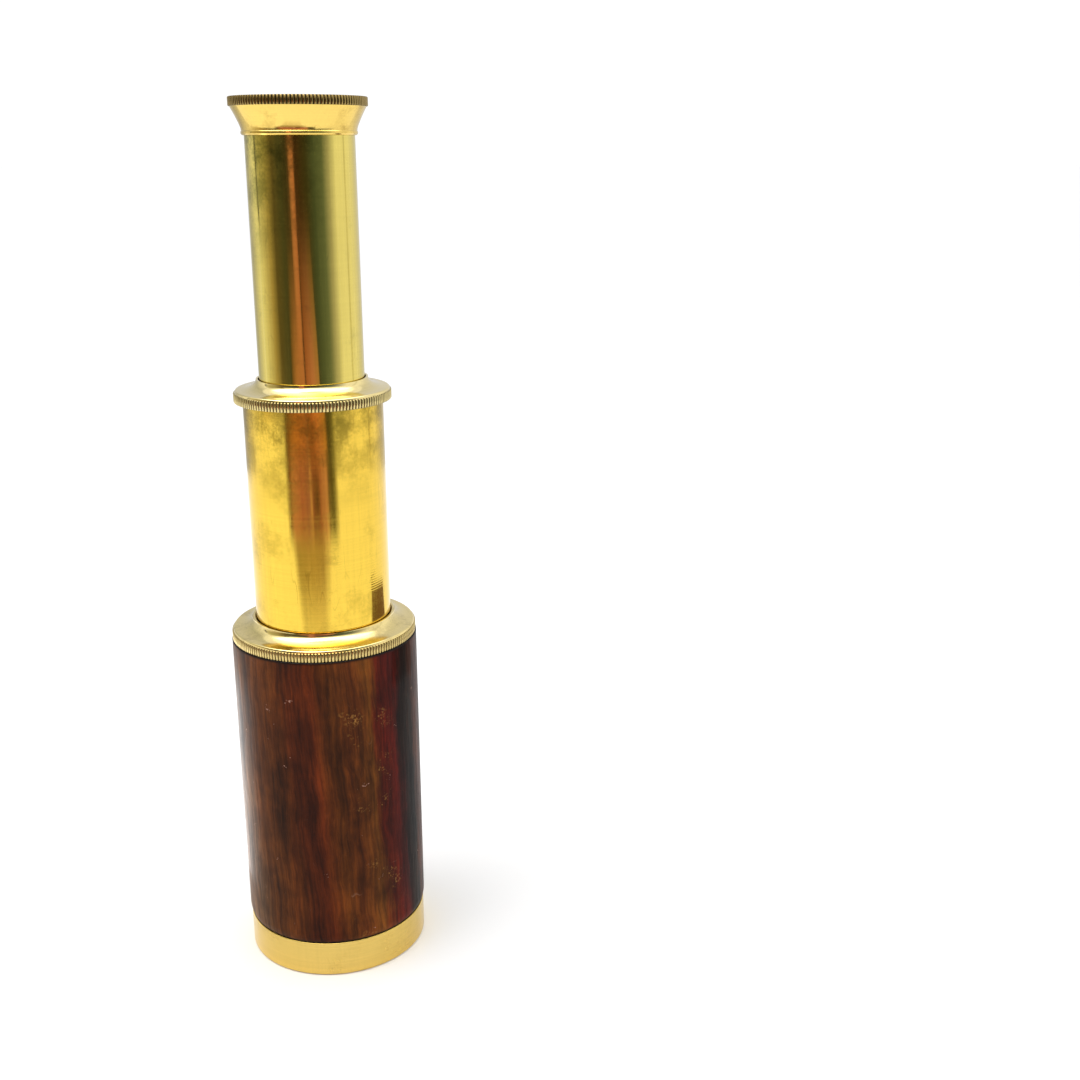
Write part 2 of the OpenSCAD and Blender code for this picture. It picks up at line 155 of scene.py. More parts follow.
def knurl_dirt_effect():
    """Polish and dirt packed between the ridges of a knurled band, from its crests inwards."""
    band_depth, fill_power = 1.6, 0.7
    tree, entry, leave = effect(
        "Knurl dirt", {"Vector": None, "Crest": 0.0164, "Depth": 0.0002, "Bottom": 0.0, "Top": 1.0},
        ["Groove", "Band"])
    parts = place(tree, "ShaderNodeSeparateXYZ", {0: entry.outputs["Vector"]}).outputs
    squares = calc(tree, "ADD", calc(tree, "POWER", calc(tree, "ABSOLUTE", parts[0]), 2.0),
                   calc(tree, "POWER", calc(tree, "ABSOLUTE", parts[1]), 2.0))
    down = calc(tree, "SUBTRACT", entry.outputs["Crest"], calc(tree, "SQRT", squares))
    groove = calc(tree, "DIVIDE", down, entry.outputs["Depth"], clamp=True)
    above = calc(tree, "GREATER_THAN", parts[2], entry.outputs["Bottom"])
    below = calc(tree, "LESS_THAN", parts[2], entry.outputs["Top"])
    near = calc(tree, "LESS_THAN", down, calc(tree, "MULTIPLY", entry.outputs["Depth"], band_depth))
    band = calc(tree, "MULTIPLY", calc(tree, "MULTIPLY", above, below), near)
    packed = calc(tree, "MULTIPLY", calc(tree, "POWER", groove, fill_power), band)
    tree.links.new(packed, leave.inputs["Groove"])
    tree.links.new(band, leave.inputs["Band"])
    return tree


TARNISH = tarnish_effect()
STREAKS = streak_effect()
SCRATCHES = scratch_effect()
KNURL_DIRT = knurl_dirt_effect()


def tarnish_on(tree, at, per_metre, cover, softness):
    """The mask of the tarnish patches."""
    return place(tree, "ShaderNodeGroup", {
        "Vector": at, "Per metre": per_metre, "Cover": cover, "Softness": softness},
        node_tree=TARNISH).outputs[0]


def streaks_on(tree, at, across, along, contrast):
    """The value of the drawn-out lines."""
    return place(tree, "ShaderNodeGroup", {
        "Vector": at, "Across": across, "Along": along, "Contrast": contrast},
        node_tree=STREAKS).outputs[0]


def scratches_on(tree, at, across, along, width, cover):
    """The mask of the hair scratches."""
    return place(tree, "ShaderNodeGroup", {
        "Vector": at, "Across": across, "Along": along, "Width": width, "Cover": cover},
        node_tree=SCRATCHES).outputs[0]


def empty_material(name):
    """A material and its node tree with nothing in it."""
    material = bpy.data.materials.new(name)
    material.use_nodes = True
    material.node_tree.nodes.clear()
    return material, material.node_tree


def blank_material(name):
    """A material with a Principled shader and the object's own coordinates, ready for its nodes."""
    material, tree = empty_material(name)
    shader = place(tree, "ShaderNodeBsdfPrincipled")
    place(tree, "ShaderNodeOutputMaterial", {"Surface": shader.outputs[0]})
    coordinates = place(tree, "ShaderNodeTexCoord").outputs["Object"]
    return material, tree, shader, coordinates


def join_shader(tree, shader, colour, rough, height):
    """Feeds the shader its colour, its roughness and a bump of this height in metres."""
    bump = place(tree, "ShaderNodeBump", {"Strength": 1.0, "Distance": 1.0, "Height": height})
    tree.links.new(colour, shader.inputs["Base Color"])
    tree.links.new(rough, shader.inputs["Roughness"])
    tree.links.new(bump.outputs[0], shader.inputs["Normal"])


def brass(name, bright, aged, roughness=0.08, cover=0.42, softness=0.4, patches=150.0, lines=0.35,
          rings=0.3, ring_height=0.0000015, wave=0.00002, scratches=0.42, knurl=None, scores=None,
          bloom=None):
    """Brass that has been turned and polished, with tarnish, rubbed lines, scratches and fine rings.
    knurl is a knurled band's crest, depth, bottom and top, and the colours of its crests and its dirt.
    scores is the spacing, depth, bottom and top of rings cut round the tube, deepest at its sides.
    bloom is where a dull film starts and where it is full, its colour, and how much it changes per
    metre along x. The lengths in these three are millimetres. ring_height and wave are bumps in metres."""
    line_shade, line_rough, ring_rough, tarnish_rough, bloom_rough = 0.22, 0.12, 0.10, 0.16, 0.12
    line_height, scratch_height, scratch_shade, dirt_rough = 0.0000012, -0.000003, 0.5, 0.4
    flank_rise = 120.0
    material, tree, shader, place_on = blank_material(name)
    at = place(tree, "ShaderNodeSeparateXYZ", {0: place_on}).outputs
    tarnished = tarnish_on(tree, place_on, patches, cover, softness)
    rubbed = streaks_on(tree, place_on, 2600.0, 45.0, 3.0)
    ringed = streaks_on(tree, place_on, 40.0, 5200.0, 3.0)
    hairs = scratches_on(tree, place_on, 420.0, 70.0, 0.012, scratches)
    mottle = noise(tree, place_on, 60.0, 2.0)[0]

    base = blended(tree, tarnished, bright, aged)
    base = blended(tree, calc(tree, "MULTIPLY", hairs, scratch_shade), base, aged)
    rough = calc(tree, "MULTIPLY_ADD", tarnished, tarnish_rough, roughness)
    if bloom:
        start, full, dull, lean = bloom
        climb = calc(tree, "DIVIDE", calc(tree, "SUBTRACT", at["Z"], start * MM), (full - start) * MM,
                     clamp=True)
        side = calc(tree, "MULTIPLY_ADD", at["X"], lean, 1.0, clamp=True)
        film = tarnish_on(tree, place_on, 230.0, 0.60, 0.24)
        bloomed = calc(tree, "MULTIPLY", calc(tree, "MULTIPLY", climb, side), film)
        base = blended(tree, bloomed, base, dull)
        rough = calc(tree, "MULTIPLY_ADD", bloomed, bloom_rough, rough)
    rough = calc(tree, "MULTIPLY_ADD", rubbed, lines * line_rough, rough)
    rough = calc(tree, "MULTIPLY_ADD", ringed, rings * ring_rough, rough)
    shade = calc(tree, "MULTIPLY_ADD", calc(tree, "SUBTRACT", rubbed, 0.5), lines * line_shade, 1.0)
    shade = calc(tree, "MULTIPLY_ADD", calc(tree, "SUBTRACT", ringed, 0.5), rings * line_shade, shade)
    colour = place(tree, "ShaderNodeVectorMath", {0: base, "Scale": shade}, operation="SCALE").outputs[0]
    if knurl:
        crest, depth, bottom, top, crest_colour, dirt_and_shadow_colour = knurl
        dirt = place(tree, "ShaderNodeGroup", {
            "Vector": place_on, "Crest": crest * MM, "Depth": depth * MM,
            "Bottom": bottom * MM, "Top": top * MM}, node_tree=KNURL_DIRT).outputs
        colour = blended(tree, dirt["Band"], colour, crest_colour)
        colour = blended(tree, dirt["Groove"], colour, dirt_and_shadow_colour)
        rough = calc(tree, "MULTIPLY_ADD", dirt["Groove"], dirt_rough, rough)
    height = calc(tree, "MULTIPLY", mottle, wave)
    height = calc(tree, "MULTIPLY_ADD", ringed, ring_height, height)
    height = calc(tree, "MULTIPLY_ADD", rubbed, lines * line_height, height)
    height = calc(tree, "MULTIPLY_ADD", hairs, scratch_height, height)
    if scores:
        spacing, depth, bottom, top = (value * MM for value in scores)
        groove = calc(tree, "SINE", calc(tree, "MULTIPLY", at["Z"], 2 * math.pi / spacing))
        inside = calc(tree, "MULTIPLY", calc(tree, "GREATER_THAN", at["Z"], bottom),
                      calc(tree, "LESS_THAN", at["Z"], top))
        broken = calc(tree, "MULTIPLY_ADD", mottle, 3.0, -0.8, clamp=True)
        aside = calc(tree, "ABSOLUTE", at["X"])
        flank = calc(tree, "MULTIPLY_ADD", aside, flank_rise, -0.5, clamp=True)
        scored = calc(tree, "MULTIPLY", calc(tree, "MULTIPLY", groove, inside),
                      calc(tree, "MULTIPLY", broken, flank))
        height = calc(tree, "MULTIPLY_ADD", scored, depth, height)
    join_shader(tree, shader, colour, rough, height)
    shader.inputs["Metallic"].default_value = 1.0
    return material


def coat_nodes(names, material):
    """Gives a finish to CAD nodes that are shown with their own meshes."""
    for name in names:
        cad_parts[name].data.materials.clear()
        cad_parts[name].data.materials.append(material)


plain_brass = brass("Plain turned brass", (0.70, 0.46, 0.14, 1), (0.34, 0.19, 0.06, 1), roughness=0.3,
                    cover=0.5, patches=220.0, lines=0.3, rings=0.8)
coat_nodes(PLAIN_BRASS_PARTS, plain_brass)


# BLACKENED FITTINGS
# The screwed rings that hold the lenses, the stops that cut stray light and the erector's tube.
# They are brass, blackened with acid so that they don't shine, and rubbed bright in places.
BLACKENED_PARTS = (
    "objective_retainer", "objective_stop", "eye_lens_ring", "field_lens_ring", "field_stop",
    "erector_tube", "erector_front_ring", "erector_rear_ring", "erector_stop")


def blackened_brass():
    """Dull black brass with fine turning rings, worn through to brown brass in small spots."""
    black, bare_brass = (0.012, 0.011, 0.010, 1), (0.10, 0.07, 0.035, 1)
    material, tree, shader, place_on = blank_material("Blackened brass")
    worn = tarnish_on(tree, place_on, 600.0, 0.36, 0.12)
    ringed = streaks_on(tree, place_on, 12.0, 7000.0, 3.0)
    rough = calc(tree, "MULTIPLY_ADD", ringed, 0.2, 0.42)
    height = calc(tree, "MULTIPLY", ringed, 0.000006)
    join_shader(tree, shader, blended(tree, worn, black, bare_brass), rough, height)
    shader.inputs["Metallic"].default_value = 0.6
    return material


coat_nodes(BLACKENED_PARTS, blackened_brass())


# LENSES
# Five ground and polished lenses of clear crown glass: the objective, the two of the erector, and
# the field and eye lenses. A little dust lies on them, and their rims show the green of the glass.
LENSES = ("objective_lens", "erector_front_lens", "erector_rear_lens", "field_lens", "eye_lens")


def optical_glass():
    """Clear glass with a thin uneven film and grains of dust."""
    clear, dusty = (0.93, 0.98, 0.96, 1), (0.75, 0.77, 0.74, 1)
    material, tree, shader, place_on = blank_material("Optical glass")
    dust = tarnish_on(tree, place_on, 1800.0, 0.34, 0.05)
    film = noise(tree, place_on, 260.0, 3.0)[0]
    rough = calc(tree, "MULTIPLY_ADD", dust, 0.25, calc(tree, "MULTIPLY", film, 0.05))
    tree.links.new(blended(tree, dust, clear, dusty), shader.inputs["Base Color"])
    tree.links.new(rough, shader.inputs["Roughness"])
    shader.inputs["IOR"].default_value = 1.52
    shader.inputs["Transmission Weight"].default_value = 1.0
    return material


coat_nodes(LENSES, optical_glass())


# WOODEN BARREL
# A sleeve of dark rosewood, bored and turned, varnished and glued over the body tube. Its lower
# edge is rounded over where it meets the ring, and handling has left nicks and rubbed spots.
# Painted light in the wood's colour: a sheen along the -x side, shade along the +x side, and a shadow line at
# the foot and at the top.
WOOD_BORE = 14.55
WOOD_FOOT = 15.9
WOOD_FOOT_CURVE = 1.9
WOOD_GRAIN_TURN = math.radians(10.4)
WOOD_GRAIN_TILT = math.radians(2.5)
WOOD_GRIP_X = 8.0
SEGMENTS = 180
SHARP_CORNER = math.radians(50)


def span(node):
    """A round part's radius, bottom and top in millimetres."""
    low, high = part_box(node)
    return high.x / MM, low.z / MM, high.z / MM


def curve(x, z, wide, tall, start, end, steps=12):
    """Corners along part of an ellipse about (x, z), between two angles in degrees."""
    angles = [math.radians(start + (end - start) * i / steps) for i in range(steps + 1)]
    return [(x + wide * math.cos(a), z + tall * math.sin(a), 0) for a in angles]


def rounded(corners, steps=4):
    """A closed outline with each corner rounded by its own radius, and a point held beside each round."""
    most_of_side, hold_reach = 0.45, 2.5
    points = []
    for i, (x, z, radius) in enumerate(corners):
        here = Vector((x, z))
        if not radius:
            points.append(here)
            continue
        back = Vector(corners[i - 1][:2]) - here
        ahead = Vector(corners[(i + 1) % len(corners)][:2]) - here
        half = back.angle(ahead) / 2
        reach = min(radius / math.tan(half), back.length * most_of_side, ahead.length * most_of_side)
        middle = (back.normalized() + ahead.normalized()).normalized()
        centre = here + middle * (reach / math.cos(half))
        first = here + back.normalized() * reach
        last = here + ahead.normalized() * reach
        points.append(here + back.normalized() * min(reach * hold_reach, back.length / 2))
        start, turn = first - centre, (first - centre).angle_signed(last - centre)
        for k in range(steps + 1):
            a = -turn * k / steps
            points.append(centre + Vector((start.x * math.cos(a) - start.y * math.sin(a),
                                           start.x * math.sin(a) + start.y * math.cos(a))))
        points.append(here + ahead.normalized() * min(reach * hold_reach, ahead.length / 2))
    return points


def turned(name, corners, material):
    """A solid turned about the optical axis from the rounded outline of its corners, in millimetres."""
    outline = rounded(corners)
    mesh = bpy.data.meshes.new(name)
    shape = bmesh.new()
    rows = []
    for i in range(SEGMENTS):
        a = 2 * math.pi * i / SEGMENTS
        rows.append([shape.verts.new((p.x * MM * math.cos(a), p.x * MM * math.sin(a), p.y * MM))
                     for p in outline])
    for i in range(SEGMENTS):
        this, after = rows[i], rows[(i + 1) % SEGMENTS]
        for k in range(len(outline)):
            nxt = (k + 1) % len(outline)
            shape.faces.new((this[k], after[k], after[nxt], this[nxt]))
    bmesh.ops.remove_doubles(shape, verts=shape.verts, dist=1e-7)
    bmesh.ops.recalc_face_normals(shape, faces=shape.faces)
    shape.to_mesh(mesh)
    shape.free()
    piece = bpy.data.objects.new(name, mesh)
    bpy.context.scene.collection.objects.link(piece)
    mesh.materials.append(material)
    smooth(mesh)
    return piece


def smooth(mesh):
    """Round shading everywhere but across real corners."""
    mesh.polygons.foreach_set("use_smooth", [True] * len(mesh.polygons))
    mesh.set_sharp_from_angle(angle=SHARP_CORNER)


def finish_piece(piece, body, node):
    """The piece moves with its body and stands for its CAD node."""
    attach(piece, body)
    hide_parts(node)


def fill_ramp(ramp, stops):
    """Gives a colour ramp its stops, each a position from 0 to 1 and a colour."""
    while len(ramp.elements) < len(stops):
        ramp.elements.new(0.5)
    for element, (at, colour) in zip(ramp.elements, stops):
        element.position = at
        element.color = (*colour, 1)


def rosewood(foot, top):
    """Varnished rosewood between two heights: growth banding across the barrel with a painted sheen along its
    -x side and painted shade along its +x side, pores, nicks, rubbed spots, and a painted shadow along its
    foot and its top.
    """
    bend_reach, swirl_reach, band_span, grip_fade = 0.008, 0.0020, 0.034, 250.0
    spot_colour, nick_colour = (0.46, 0.22, 0.05, 1), (0.50, 0.26, 0.19, 1)
    scratch_colour, dirt_and_shadow_colour = (0.32, 0.18, 0.12, 1), (0.008, 0.005, 0.004, 1)
    shadow_foot, shadow_top, shadow_edge = 0.55, 0.5, 0.4
    material, tree, shader, place_on = blank_material("Varnished rosewood")
    turn = place(tree, "ShaderNodeMapping", {
        "Vector": place_on, "Rotation": (0, WOOD_GRAIN_TILT, -WOOD_GRAIN_TURN)}).outputs[0]
    drawn = place(tree, "ShaderNodeVectorMath", {
        0: turn, 1: (1.0, 1.0, 0.16)}, operation="MULTIPLY").outputs[0]
    bend = noise(tree, drawn, 150.0, 5.0, 0.65)[0]
    swirl = place(tree, "ShaderNodeVectorMath", {
        0: noise(tree, turn, 75.0, 3.0, 0.6)[1], 1: (0.5, 0.5, 0.5)}, operation="SUBTRACT").outputs[0]
    pushed = place(tree, "ShaderNodeVectorMath", {
        0: swirl, 1: (swirl_reach, swirl_reach, 0.0), 2: turn}, operation="MULTIPLY_ADD").outputs[0]
    across = place(tree, "ShaderNodeSeparateXYZ", {0: pushed}).outputs[0]
    shifted = calc(tree, "MULTIPLY_ADD", calc(tree, "SUBTRACT", bend, 0.5), bend_reach, across)
    # The colour runs across the barrel from side to side: grain tones, with a painted sheen along the -x side
    # and painted shade, near black, along the +x side.
    bands_and_painted_edges = place(tree, "ShaderNodeValToRGB", {0: calc(tree, "MULTIPLY_ADD", shifted, 1 / band_span, 0.5)})
    fill_ramp(bands_and_painted_edges.color_ramp, (
        (0.00, (0.085, 0.034, 0.010)), (0.045, (0.135, 0.068, 0.028)), (0.085, (0.115, 0.054, 0.022)),
        (0.13, (0.088, 0.032, 0.008)), (0.17, (0.064, 0.019, 0.003)), (0.28, (0.060, 0.015, 0.002)),
        (0.36, (0.045, 0.008, 0.001)), (0.48, (0.056, 0.009, 0.001)), (0.60, (0.078, 0.020, 0.002)),
        (0.68, (0.070, 0.016, 0.002)), (0.77, (0.096, 0.029, 0.003)), (0.81, (0.064, 0.006, 0.001)),
        (0.88, (0.052, 0.003, 0.001)), (0.92, (0.010, 0.002, 0.001)), (0.965, (0.007, 0.003, 0.001)),
        (1.00, (0.040, 0.008, 0.001))))

    pores = streaks_on(tree, pushed, 1600.0, 75.0, 4.2)
    figure = streaks_on(tree, pushed, 400.0, 38.0, 3.8)
    cloud = noise(tree, pushed, 110.0, 4.0, 0.6)[0]
    pore_shade = calc(tree, "MULTIPLY_ADD", pores, 0.55, 0.72)
    figure_shade = calc(tree, "MULTIPLY_ADD", figure, 1.0, 0.50)
    cloud_shade = calc(tree, "MULTIPLY_ADD", cloud, 2.2, -0.1)
    shade = calc(tree, "MULTIPLY", calc(tree, "MULTIPLY", pore_shade, figure_shade), cloud_shade)
    toned_with_painted_edges = place(tree, "ShaderNodeVectorMath", {
        0: bands_and_painted_edges.outputs[0], "Scale": shade}, operation="SCALE").outputs[0]

    spots = tarnish_on(tree, turn, 130.0, 0.42, 0.12)
    grains = calc(tree, "MULTIPLY_ADD", noise(tree, turn, 2300.0, 2.0, 0.7)[0], 5.0, -2.5, clamp=True)
    from_grip = calc(tree, "ABSOLUTE", calc(tree, "SUBTRACT", across, WOOD_GRIP_X * MM))
    gripped = calc(tree, "SUBTRACT", 1.4, calc(tree, "MULTIPLY", from_grip, grip_fade), clamp=True)
    spotted = calc(tree, "MULTIPLY", calc(tree, "MULTIPLY", spots, gripped), grains)
    nicks = tarnish_on(tree, turn, 420.0, 0.275, 0.03)
    hairs = scratches_on(tree, turn, 260.0, 190.0, 0.006, 0.36)
    # Painted shadow: a near-black band just above the foot, where the wood meets the ring, and just below the
    # top, under the collar.
    z = place(tree, "ShaderNodeSeparateXYZ", {0: place_on}).outputs[2]
    at_foot = calc(tree, "SUBTRACT", (foot + shadow_foot) * MM, z)
    at_top = calc(tree, "SUBTRACT", z, (top - shadow_top) * MM)
    joint_shadow = calc(tree, "DIVIDE", calc(tree, "MAXIMUM", at_foot, at_top), shadow_edge * MM, clamp=True)
    colour = blended(tree, calc(tree, "MULTIPLY", spotted, 0.75), toned_with_painted_edges, spot_colour)
    colour = blended(tree, calc(tree, "MULTIPLY", nicks, 0.6), colour, nick_colour)
    colour = blended(tree, calc(tree, "MULTIPLY", hairs, 0.45), colour, scratch_colour)
    # The painted shadow at the foot and at the top goes over everything else.
    colour = blended(tree, joint_shadow, colour, dirt_and_shadow_colour)

    rough = calc(tree, "MULTIPLY_ADD", pores, -0.12, 0.48)
    height = calc(tree, "MULTIPLY", pores, 0.000012)
    height = calc(tree, "MULTIPLY_ADD", nicks, -0.00006, height)
    height = calc(tree, "MULTIPLY_ADD", figure, 0.000020, height)
    join_shader(tree, shader, colour, rough, height)
    shader.inputs["Specular IOR Level"].default_value = 0.03
    shader.inputs["Coat Weight"].default_value = 0.12
    shader.inputs["Coat Roughness"].default_value = 0.10
    return material


wood_r, wood_z, wood_top = span("wood_barrel")
barrel_wood = turned("barrel_wood", [
    (WOOD_BORE, wood_z, 0.1),
    *curve(WOOD_FOOT, wood_z + WOOD_FOOT_CURVE, wood_r - WOOD_FOOT, WOOD_FOOT_CURVE, -90, 0),
    (wood_r, wood_top, 0.25), (WOOD_BORE, wood_top, 0.1)], rosewood(wood_z, wood_top))
finish_piece(barrel_wood, "barrel", "wood_barrel")


# OBJECTIVE RING
# The polished ring that the telescope stands on. It is turned with a lip in front of the cell, a
# small chamfer round its foot, and an internal thread that screws it to the body tube.
RING_LIP = 13.2
RING_THREAD = 14.53
RING_LIP_TOP = 3.0
RING_CHAMFER = 0.3

ring_r, ring_z, ring_top = span("objective_ring")
ring_brass = brass("Ring brass", (0.71, 0.505, 0.135, 1), (0.57, 0.38, 0.09, 1), roughness=0.18,
                   cover=0.46, softness=0.5, patches=120.0, lines=0.3, rings=0.6)
foot_ring = turned("foot_ring", [
    (RING_LIP, ring_z, 0.15), (ring_r - RING_CHAMFER, ring_z, 0.12), (ring_r, ring_z + RING_CHAMFER, 0.12),
    (ring_r, ring_top, 0.12), (RING_THREAD, ring_top, 0.1), (RING_THREAD, RING_LIP_TOP, 0),
    (RING_LIP, RING_LIP_TOP, 0.1)], ring_brass)
finish_piece(foot_ring, "barrel", "objective_ring")


# BARREL COLLAR
# The cap that closes the top of the barrel and guides the large draw. It is turned with a hollow
# curve up to the tube and a knurled grip round its edge, rolled with a straight knurling wheel.
KNURL_H = 1.6
KNURL_DEPTH = 0.2
KNURL_INSET = 0.05
KNURL_END_BEVEL = 0.12
KNURL_UNEVENNESS = 0.0012
KNURL_SEED = 5
COLLAR_SPIGOT = 4.0
SHOULDER_W, SHOULDER_H = 0.25, 0.4
COVE_H = 1.8
LAND_W = 0.35
BARREL_RIDGES = 176
BARREL_COLLAR_R = 16.4
BARREL_COLLAR_BORE = 12.2
BARREL_SPIGOT_R = 13.87
BARREL_SEAT_R = 13.3


def knurl_tree():
    """Closed ridges set round a band, joined to the blank that they stand on."""
    across_points, up_points = 7, 4
    crest_power, end_fall, bevel_share = 2.4, 0.45, 0.4
    tree = bpy.data.node_groups.new("Knurled band", "GeometryNodeTree")
    for label, kind in (("Blank", "Geometry"), ("Ridges", "Int"), ("Crest", "Float"), ("Depth", "Float"),
                        ("Bottom", "Float"), ("Height", "Float"), ("End bevel", "Float"),
                        ("Unevenness", "Float"), ("Seed", "Int"), ("Finish", "Material")):
        tree.interface.new_socket(label, in_out="INPUT", socket_type="NodeSocket" + kind)
    tree.interface.new_socket("Knurled", in_out="OUTPUT", socket_type="NodeSocketGeometry")
    given = place(tree, "NodeGroupInput").outputs
    depth, tall = given["Depth"], given["Height"]
    step = calc(tree, "DIVIDE", 2 * math.pi, given["Ridges"])
    width = calc(tree, "MULTIPLY", step, given["Crest"])
    size = place(tree, "ShaderNodeCombineXYZ", {0: depth, 1: width, 2: tall})
    block = place(tree, "GeometryNodeMeshCube", {
        "Size": size.outputs[0], "Vertices X": 2, "Vertices Y": across_points, "Vertices Z": up_points})
    at = place(tree, "GeometryNodeInputPosition").outputs[0]
    spot = place(tree, "ShaderNodeSeparateXYZ", {0: at}).outputs
    outer = calc(tree, "GREATER_THAN", spot[0], 0.0)
    sideways = calc(tree, "DIVIDE", calc(tree, "ABSOLUTE", spot[1]), calc(tree, "MULTIPLY", width, 0.5))
    crest = calc(tree, "SUBTRACT", 1.0, calc(tree, "POWER", sideways, crest_power), clamp=True)
    inside = calc(tree, "LESS_THAN", calc(tree, "ABSOLUTE", spot[2]),
                  calc(tree, "MULTIPLY", tall, bevel_share))
    fall = calc(tree, "MULTIPLY_ADD", inside, 1.0 - end_fall, end_fall)
    rise = calc(tree, "MULTIPLY", calc(tree, "MULTIPLY", crest, fall), depth)
    root = calc(tree, "SUBTRACT", given["Crest"], depth)
    face = calc(tree, "MULTIPLY", outer, calc(tree, "ADD", rise, depth))
    x = calc(tree, "ADD", calc(tree, "SUBTRACT", root, depth), face)
    half = calc(tree, "MULTIPLY", tall, 0.5)
    reach = calc(tree, "SUBTRACT", half, calc(tree, "MULTIPLY", inside, given["End bevel"]))
    level = calc(tree, "MULTIPLY", calc(tree, "SIGN", spot[2]), reach)
    z = calc(tree, "ADD", calc(tree, "ADD", level, half), given["Bottom"])
    moved = place(tree, "ShaderNodeCombineXYZ", {0: x, 1: spot[1], 2: z}).outputs[0]
    ridge = place(tree, "GeometryNodeSetPosition", {"Geometry": block.outputs["Mesh"], "Position": moved})
    stations = place(tree, "GeometryNodePoints", {"Count": given["Ridges"], "Position": (0, 0, 0)})
    angle = calc(tree, "MULTIPLY", place(tree, "GeometryNodeInputIndex").outputs[0], step)
    random = place(tree, "FunctionNodeRandomValue", {"Seed": given["Seed"]}, data_type="FLOAT")
    shrink = calc(tree, "SUBTRACT", 1.0, calc(tree, "MULTIPLY", random.outputs[1], given["Unevenness"]))
    ring = place(tree, "GeometryNodeInstanceOnPoints", {
        "Points": stations.outputs[0], "Instance": ridge.outputs[0],
        "Rotation": place(tree, "ShaderNodeCombineXYZ", {2: angle}).outputs[0],
        "Scale": place(tree, "ShaderNodeCombineXYZ", {0: shrink, 1: 1.0, 2: 1.0}).outputs[0]})
    joined = place(tree, "GeometryNodeJoinGeometry", {0: given["Blank"]})
    tree.links.new(ring.outputs[0], joined.inputs[0])
    real = place(tree, "GeometryNodeRealizeInstances", {0: joined.outputs[0]})
    done = place(tree, "GeometryNodeSetMaterial", {0: real.outputs[0], "Material": given["Finish"]})
    place(tree, "NodeGroupOutput", {0: done.outputs[0]})
    return tree


KNURL_TREE = knurl_tree()


def knurled(blank, ridges, crest, depth, bottom, height, material):
    """Rolls ridges round a turned blank and leaves it a plain mesh."""
    values = {
        "Ridges": ridges, "Crest": crest * MM, "Depth": depth * MM, "Bottom": bottom * MM,
        "Height": height * MM, "End bevel": KNURL_END_BEVEL * MM, "Unevenness": KNURL_UNEVENNESS,
        "Seed": KNURL_SEED, "Finish": material}
    rolling = blank.modifiers.new("Knurling", "NODES")
    rolling.node_group = KNURL_TREE
    for item in KNURL_TREE.interface.items_tree:
        if item.name in values:
            rolling[item.identifier] = values[item.name]
    bpy.context.view_layer.update()
    result = blank.evaluated_get(bpy.context.evaluated_depsgraph_get())
    mesh = bpy.data.meshes.new_from_object(result)
    blank.modifiers.remove(rolling)
    blank.data = mesh
    smooth(mesh)
    return blank


def collar(name, crest, bore, seat, spigot, bottom, ridges, material):
    """A knurled collar with its spigot, its seat for the sleeve and its hollow curve. crest, bore,
    seat and spigot are radii, and bottom is the height where the knurling starts."""
    core = crest - KNURL_DEPTH - KNURL_INSET
    neck = core - SHOULDER_W
    knurl_top = bottom + KNURL_H
    cove_z = knurl_top + SHOULDER_H + COVE_H
    blank = turned(name, [
        (seat, bottom - COLLAR_SPIGOT, 0), (spigot, bottom - COLLAR_SPIGOT, 0.1), (spigot, bottom, 0),
        (core, bottom, 0.1), *curve(neck, knurl_top, SHOULDER_W, SHOULDER_H, 0, 90, 5),
        *curve(neck, cove_z, neck - bore - LAND_W, COVE_H, -90, -180)[1:],
        (bore, cove_z, 0.08), (bore, knurl_top, 0), (seat, knurl_top, 0)], material)
    return knurled(blank, ridges, crest, KNURL_DEPTH, bottom, KNURL_H, material)


barrel_collar_top = span("barrel_collar")[2]
barrel_knurl_z = barrel_collar_top - COVE_H - SHOULDER_H - KNURL_H
barrel_collar_brass = brass(
    "Barrel collar brass", (0.85, 0.69, 0.30, 1), (0.46, 0.36, 0.15, 1), roughness=0.09,
    cover=0.49, softness=0.35, patches=260.0, lines=0.25, rings=0.3, wave=0.0002,
    knurl=(BARREL_COLLAR_R, KNURL_DEPTH, barrel_knurl_z, barrel_knurl_z + KNURL_H,
           (0.76, 0.59, 0.23, 1), (0.12, 0.075, 0.02, 1)))
barrel_cap = collar("barrel_cap", BARREL_COLLAR_R, BARREL_COLLAR_BORE, BARREL_SEAT_R, BARREL_SPIGOT_R,
                    barrel_knurl_z, BARREL_RIDGES, barrel_collar_brass)
finish_piece(barrel_cap, "barrel", "barrel_collar")


# LARGE DRAW TUBE
# The wider of the two sliding tubes, drawn brass polished bright and bare of lacquer. Sliding has
# rubbed lines along it, and the sleeve's edge has scored fine rings round its lower end.
LARGE_BORE = 11.45

large_r, large_z, large_top = span("large_draw_tube")
large_brass = brass(
    "Large draw brass", (0.83, 0.56, 0.075, 1), (0.46, 0.31, 0.035, 1), roughness=0.045,
    cover=0.48, softness=0.40, patches=170.0, lines=0.4, rings=0.45, ring_height=0.0000004, scratches=0.5,
    scores=(0.43, 0.0070, 71.0, 78.0), bloom=(86.0, 103.0, (0.36, 0.25, 0.03, 1), 0.0))
large_tube = turned("large_tube", [
    (LARGE_BORE, large_z, 0.1), (large_r, large_z, 0.1), (large_r, large_top, 0.1),
    (LARGE_BORE, large_top, 0.1)], large_brass)
finish_piece(large_tube, "large_draw", "large_draw_tube")


# DRAW COLLAR
# The cap at the top of the large draw, made as the barrel's is and a size smaller. Its edge stands
# out from the tube, so its knurling catches more of the polish and the dirt.
DRAW_RIDGES = 144
DRAW_COLLAR_R = 13.5
DRAW_COLLAR_BORE = 9.2
DRAW_SPIGOT_R = 11.42
DRAW_SEAT_R = 10.3

